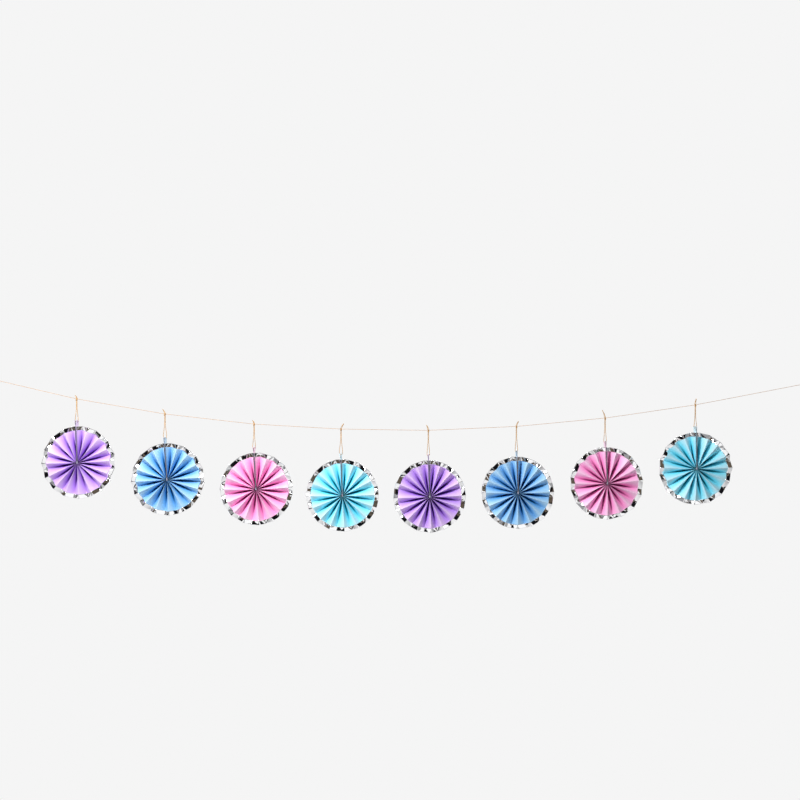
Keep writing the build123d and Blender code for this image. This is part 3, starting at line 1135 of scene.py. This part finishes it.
@dataclass
class Fan:
    """One paper fan: its sheet, foil edging, end cards and twine loop."""

    number: int
    shade: Shade
    hole: Vector
    lean: float
    splays: tuple[float, float]
    rule: PleatRule

    @property
    def name(self) -> str:
        """What the fan's nodes are called."""
        return f"fan_{self.number}"

    def seat(self) -> Matrix:
        """From the fan's own plane, in millimetres, to the garland, in metres.

        Returns:
            The matrix.
        """
        angle = math.radians(self.lean)
        right = Vector((math.cos(angle), 0.0, math.sin(angle)))
        up = Vector((-math.sin(angle), 0.0, math.cos(angle)))
        card = EndCard(1, 0.0, self.rule)
        middle = self.hole - up * (self.rule.fan_radius + card.tab_height - card.hole_inset)
        turned = Matrix((right, up, Vector((0.0, -1.0, 0.0)))).transposed().to_4x4()
        return Matrix.Translation(middle * MM) @ turned @ Matrix.Scale(MM, 4)

    def strip(self, tree: GeometryBoard, material: bpy.types.Material, thickness: float,
              first_row: int, lap: float) -> bpy.types.Mesh:
        """A pleated strip between two rows of the folded grid, with its real thickness.

        Args:
            tree: the pleats' tree.
            material: its finish.
            thickness: its thickness, in millimetres.
            first_row: the row that it starts from, counted from the hub.
            lap: how far it goes past the rim, in millimetres.

        Returns:
            The strip's mesh, in place.
        """
        rows = self.rule.bare_rows + self.rule.foil_rows + 1 - first_row
        folded = tree.run(linked("grid", bpy.data.meshes.new("grid")), material, First_Row=first_row,
                          Rows=rows, Lap=lap, Seed=self.number)
        count = len(folded.vertices)
        host = linked("strip", folded)
        wall = host.modifiers.new("thickness", "SOLIDIFY")
        wall.thickness = thickness
        wall.offset = 0.0
        mesh = mesh_of(host)
        bpy.data.objects.remove(host)
        heights = [corner.co.z for corner in mesh.vertices]
        first = 1.0 if sum(heights[:count]) > sum(heights[count:]) else -1.0
        front = mesh.attributes.new("front", "FLOAT", "POINT")
        front.data.foreach_set("value", [first] * count + [-first] * (len(heights) - count))
        mesh.transform(self.seat())
        return mesh

    def build(self, tree: GeometryBoard, finishes: Finishes) -> None:
        """Makes the fan's paper, foil and cards.

        Args:
            tree: the pleats' tree.
            finishes: every material.
        """
        rule = self.rule
        sheet = self.strip(tree, finishes.papers[self.shade], rule.paper_thickness, 0, 0.0)
        piece(f"{self.name}_paper", sheet, self.shade.value, f"{self.name}_pleated_sheet")
        foil = self.strip(tree, finishes.foil, rule.paper_thickness + 2 * rule.foil_thickness,
                          rule.bare_rows, rule.foil_thickness)
        piece(f"{self.name}_foil", foil, "silver_foil", f"{self.name}_foil_edging")
        # The left card's edge takes the painted shadow, the right one plain grey board.
        sides = ((-1, "left", finishes.dark_edge), (1, "right", finishes.grey_edge))
        for (side, word, edge), splay in zip(sides, self.splays):
            title = f"{self.name}_{word}_card"
            mesh = EndCard(side, splay, rule).mesh(title, finishes.papers[self.shade], finishes.board, edge)
            mesh.transform(self.seat())
            piece(title, mesh, "end_card", f"{self.name}_{word}_end_card")


@dataclass
class Garland:
    """The string with its eight fans. Places along it are shares of the named lengths."""

    first_knot_x: float = 221.6
    first_knot_drop: float = 51.7
    knot_span: float = 1283.4
    knot_place_shares: tuple[float, ...] = (0.0, 0.1426, 0.2867, 0.4272, 0.5684, 0.7108, 0.8541, 1.0)
    string_sag: float = 65.1
    knot_drop_shares: tuple[float, ...] = (0.0, 0.478, 0.8, 0.959, 1.0, 0.874, 0.608, 0.19)
    fan_leans: tuple[float, ...] = (2.4, 4.1, 3.4, 2.1, 1.8, 1.7, 2.1, 0.2)
    loop_drop: float = 50.0
    loop_drop_shares: tuple[float, ...] = (0.88, 0.96, 0.94, 1.0, 0.99, 1.0, 0.955, 0.885)
    tail_length: float = 16.0
    tail_length_shares: tuple[float, ...] = (0.42, 0.58, 0.44, 0.75, 0.64, 0.68, 1.0, 0.78)
    tail_leans: tuple[float, ...] = (-19, -22, -18, 21, -14, 18, -13, 4)
    tail_turns: tuple[float, float] = (5, -4)
    second_tail_share: float = 0.86
    splays: tuple[tuple[float, float], ...] = (
        (1.7, 1.3), (1.4, 1.1), (1.6, 1.3), (1.9, 1.6), (0.8, 0.5), (0.8, 0.6), (0.9, 0.7), (1.6, 1.0),
    )
    string_points: tuple[tuple[float, float], ...] = (
        (41.9, -9.8), (215.6, -50.5), (227.6, -52.9), (398.6, -81.9), (410.6, -83.7), (583.5, -103.3),
        (595.5, -104.3), (763.8, -113.9), (775.8, -114.3), (945.0, -116.9), (957.0, -116.7),
        (1127.8, -109.1), (1139.8, -108.3), (1311.8, -92.0), (1323.8, -90.6), (1499.0, -65.1),
        (1511.0, -63.1), (1742.3, -18.6),
    )
    twine_diameter: float = 1.1
    twine_pitch: float = 2.5
    twine_fuzz: float = 0.5
    string_diameter: float = 0.8
    string_pitch: float = 2.9
    string_fuzz: float = 0.06
    hole_radius: float = 2.0
    hole_top_gap: float = 0.4
    card_side_gap: float = 0.9
    eye_widths: tuple[float, ...] = (4.4, 5.6, 3.8, 5.0, 4.2, 3.8, 4.0, 3.0)
    leg_gap: float = 0.2
    knot_width: float = 4.0
    loop_top_gap: float = 0.3
    belly_height_share: float = 0.22
    belly_splay_share: float = 0.3
    foot_splay_share: float = 0.7
    pinch_height_share: float = 0.56
    cross_height_share: float = 0.8
    cross_offset: float = 0.25
    hook_eye_length: float = 38.0
    hook_eye_width: float = 8.4
    hook_eye_shoulder: float = 8.0
    hook_turn_width: float = 5.2
    hanging_wraps: int = 2
    hanging_waist: float = 1.35
    end_knot_length: float = 5.0
    end_knot_gap: float = 0.1
    end_knot_core: float = 1.0
    end_wraps: int = 6
    end_tail: tuple[float, float] = (38, 9.0)
    loop_seed: int = 1
    knot_seed: int = 40
    string_seed: int = 30
    end_knot_seed: int = 68
    end_loop_seed: int = 29
    rule: PleatRule = field(default_factory=PleatRule)

    def knot_place(self, index: int) -> Vector:
        """The middle of a hanging knot, in millimetres."""
        return Vector((self.first_knot_x + self.knot_place_shares[index] * self.knot_span, 0.0,
                       -self.first_knot_drop - self.knot_drop_shares[index] * self.string_sag))

    def route(self) -> list[Vector]:
        """The string's points, in millimetres."""
        return [Vector((x, 0.0, z)) for x, z in self.string_points]

    def slope(self, index: int) -> Vector:
        """The string's direction at a hanging knot."""
        points = self.route()
        return (points[2 * index + 2] - points[2 * index + 1]).normalized()

    def hole(self, index: int) -> Vector:
        """The middle of the holes that a fan hangs by, in millimetres."""
        drop = self.loop_drop * self.loop_drop_shares[index] + EndCard(1, 0.0, self.rule).hole_inset
        return self.knot_place(index) - Vector((0.0, 0.0, drop))

    def loop_route(self, index: int) -> list[Vector]:
        """A twine loop's points, in metres: down one leg, through both holes and up the other.

        Args:
            index: the fan's place in the row, from 0.

        Returns:
            The control points.
        """
        hole, radius = self.hole(index), self.twine_diameter / 2
        bight = hole.z + self.hole_radius - self.hole_top_gap - radius
        top = self.knot_place(index).z - self.knot_width / 2 / self.slope(index).x - self.loop_top_gap
        spread = self.rule.card_thickness + self.card_side_gap + radius
        pinch = (self.twine_diameter + self.leg_gap) / 2
        route = []
        for side, splay in ((-1, self.splays[index][0]), (1, self.splays[index][1])):
            aside = self.cross_offset * side
            belly = self.eye_widths[index] / 2 + self.belly_splay_share * splay
            leg = [
                (pinch, 0.0, 1.0), (pinch, -aside, self.cross_height_share),
                (pinch, aside, self.pinch_height_share), (belly, 0.0, self.belly_height_share),
                (spread + self.foot_splay_share * splay, 0.0, 0.0),
            ]
            points = [Vector((hole.x + side * x, y, bight + share * (top - bight))) * MM
                      for x, y, share in leg]
            route += points if side < 0 else list(reversed(points))
        return route

    def hook_eye(self, word: str) -> tuple[Seat, list[Vector]]:
        """The eye at one end of the string: its seat, with +x from the hook inwards, and its points.

        Args:
            word: left or right.

        Returns:
            The seat, and the control points, in metres.
        """
        points = self.route()
        end, neighbour = (points[0], points[1]) if word == "left" else (points[-1], points[-2])
        inward = (neighbour - end).normalized()
        seat = Seat(end - inward * (self.hook_eye_length + self.end_knot_length), inward)
        radius = self.string_diameter / 2
        leg_end, close = self.hook_eye_length - self.end_knot_gap, radius + self.leg_gap / 2
        half = [
            (leg_end, close), (self.hook_eye_shoulder, self.hook_eye_width / 2),
            (-radius, self.hook_turn_width / 2),
        ]
        eye = half + [(x, -z) for x, z in reversed(half)]
        return seat, [seat.point(x, 0.0, z) for x, z in eye]

    def build(self, finishes: Finishes) -> None:
        """Makes the whole garland.

        Args:
            finishes: every material.
        """
        strands = TwineRule().tree()
        twine = Lay(self.twine_diameter, self.twine_pitch, finishes.twine, strands, "twine", self.twine_fuzz)
        string = Lay(self.string_diameter, self.string_pitch, finishes.string, strands, "string",
                     self.string_fuzz)
        for index, (lean, share) in enumerate(zip(self.tail_leans, self.tail_length_shares)):
            length = self.tail_length * share
            lengths = (length, length * self.second_tail_share)
            tails = [(lean + turn, reach) for turn, reach in zip(self.tail_turns, lengths)]
            knot = Knot(f"fan_{index + 1}_hanging_knot", Seat(self.knot_place(index), self.slope(index)),
                        twine, self.string_diameter / 2, self.hanging_wraps, tails,
                        self.knot_seed + index, waist=self.hanging_waist)
            knot.build()
            twine.cord(f"fan_{index + 1}_twine_loop", self.loop_route(index), self.loop_seed + index)
        for index, word in enumerate(("left", "right")):
            seat, eye = self.hook_eye(word)
            middle = self.hook_eye_length + self.end_knot_length / 2
            knot = Knot(f"{word}_end_knot", Seat(seat.origin + seat.along * middle, seat.along), string,
                        self.end_knot_core, self.end_wraps, (self.end_tail,), self.end_knot_seed + index)
            knot.build()
            string.cord(f"{word}_end_loop", eye, self.end_loop_seed + index)
        route = [point * MM for point in self.route()]
        string.cord("garland_string", route, self.string_seed)
        pleats = self.rule.tree()
        shades = list(Shade)
        for index, lean in enumerate(self.fan_leans):
            Fan(index + 1, shades[index % len(shades)], self.hole(index), lean, self.splays[index],
                self.rule).build(pleats, finishes)


@dataclass
class Studio:
    """The camera, the light and what stands round the garland, in metres."""

    view_middle: tuple[float, float] = (0.89225, -0.05395)
    view_width: float = 1.66
    camera_distance: float = 1.8
    backdrop: float = 0.913
    fill: Colour = (0.24, 0.24, 0.2424)
    key_place: tuple[float, float, float] = (0.20, -1.15, 0.80)
    key_target: tuple[float, float, float] = (0.50, 0.0, -0.22)
    key_size: float = 0.36
    key_power: float = 37.0
    back_place: tuple[float, float, float] = (1.30, 1.30, 0.70)
    floor_height: float = -1.5
    floor_reach: float = 3.0
    floor_depths: tuple[float, float] = (-1.6, 1.2)
    floor_tone: float = 0.88
    floor_mottle: float = 0.02
    floor_grain: Grain = Grain(6.0)
    floor_glow: float = 1.03
    floor_glow_share: float = 0.9
    room_scale: float = 1.5
    room_stops: tuple[tuple[float, Colour], ...] = (
        (0.0, (0.006, 0.006, 0.008)), (0.26, (0.120, 0.095, 0.070)), (0.36, (0.34, 0.34, 0.35)),
        (0.46, (0.97, 0.97, 0.97)), (0.70, (1.06, 1.06, 1.06)), (0.92, (0.66, 0.67, 0.69)),
    )

    def build(self) -> None:
        """Makes the camera, the lamps, the world and the floor."""
        self._camera()
        self._lamp("key", self.key_place, self.key_size)
        self._lamp("back", self.back_place, 2 * self.key_size)
        self._world()
        self._floor()
        bpy.context.scene.view_settings.view_transform = "Standard"

    def _camera(self) -> None:
        """The camera looks straight along +Y."""
        data = bpy.data.cameras.new("camera")
        data.sensor_width = 36.0
        data.lens = data.sensor_width * self.camera_distance / self.view_width
        made = linked("camera", data)
        made.location = (self.view_middle[0], -self.camera_distance, self.view_middle[1])
        made.rotation_euler = (math.radians(90), 0.0, 0.0)
        bpy.context.scene.camera = made

    def _lamp(self, name: str, place: Sequence[float], size: float) -> None:
        """A soft lamp that looks at the fans: one above and to the left in front, and one behind.

        Args:
            name: the lamp's name.
            place: where it stands.
            size: how wide it is.
        """
        data = bpy.data.lights.new(name, "AREA")
        data.shape = "DISK"
        data.size = size
        data.energy = self.key_power
        made = linked(name, data)
        made.location = place
        aim = Vector(self.key_target) - Vector(place)
        made.rotation_mode = "QUATERNION"
        made.rotation_quaternion = aim.to_track_quat("-Z", "Y")

    def _world(self) -> None:
        """A pale backdrop for the camera, an even fill, and a room with dark places for reflections."""
        world = bpy.data.worlds.new("studio")
        world.use_nodes = True
        bpy.context.scene.world = world
        board = Board(world.node_tree)
        path = board.node("ShaderNodeLightPath")
        seen = Wire(board, path.outputs["Is Camera Ray"])
        glossy = Wire(board, path.outputs["Is Glossy Ray"])
        direction = board.wire("ShaderNodeTexCoord", None, None, "Generated")
        cells = {"Vector": direction, "Scale": self.room_scale}
        boxes = board.wire("ShaderNodeTexVoronoi", None, cells, "Color")
        room = board.wire("ShaderNodeValToRGB", {"interpolation": "CONSTANT", "stops": self.room_stops},
                          {"Fac": board.parts(boxes)[0]}, "Color")
        even = (*self.fill, 1.0)
        pale = (self.backdrop, self.backdrop, self.backdrop, 1.0)
        lit = board.mixed(glossy, even, room)
        shader = world.node_tree.nodes["Background"]
        world.node_tree.links.new(board.mixed(seen, lit, pale).socket, shader.inputs["Color"])

    def _floor(self) -> None:
        """A plain pale floor, below the view."""
        mesh = bpy.data.meshes.new("floor")
        middle, (front, back) = self.view_middle[0], self.floor_depths
        left, right = middle - self.floor_reach, middle + self.floor_reach
        plan = ((left, front), (right, front), (right, back), (left, back))
        mesh.from_pydata([(x, y, self.floor_height) for x, y in plan], [], [(0, 1, 2, 3)])
        finish = Finish("floor", Roughness=0.8)
        board = finish.board
        tone = board.noise(finish.place, self.floor_grain) * self.floor_mottle + self.floor_tone
        finish.feed("Base Color", board.vector(tone, tone, tone))
        level = self.backdrop * self.floor_glow
        glow = board.node("ShaderNodeEmission", None, {"Color": (level, level, level, 1.0)})
        seen = board.wire("ShaderNodeLightPath", None, None, "Is Camera Ray") * self.floor_glow_share
        both = board.node("ShaderNodeMixShader", None, {0: seen})
        end = finish.material.node_tree.nodes["Material Output"]
        for source, target in ((finish.shader.outputs[0], both.inputs[1]), (glow.outputs[0], both.inputs[2]),
                               (both.outputs[0], end.inputs["Surface"])):
            board.tree.links.new(source, target)
        mesh.materials.append(finish.material)
        linked("floor", mesh)


def main() -> None:
    """Builds the studio and the garland round the frame."""
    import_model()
    Studio().build()
    garland = Garland()
    garland.build(Finishes(garland.rule))


if __name__ == "__main__":
    logging.basicConfig(level=logging.INFO, format="%(message)s")
    main()
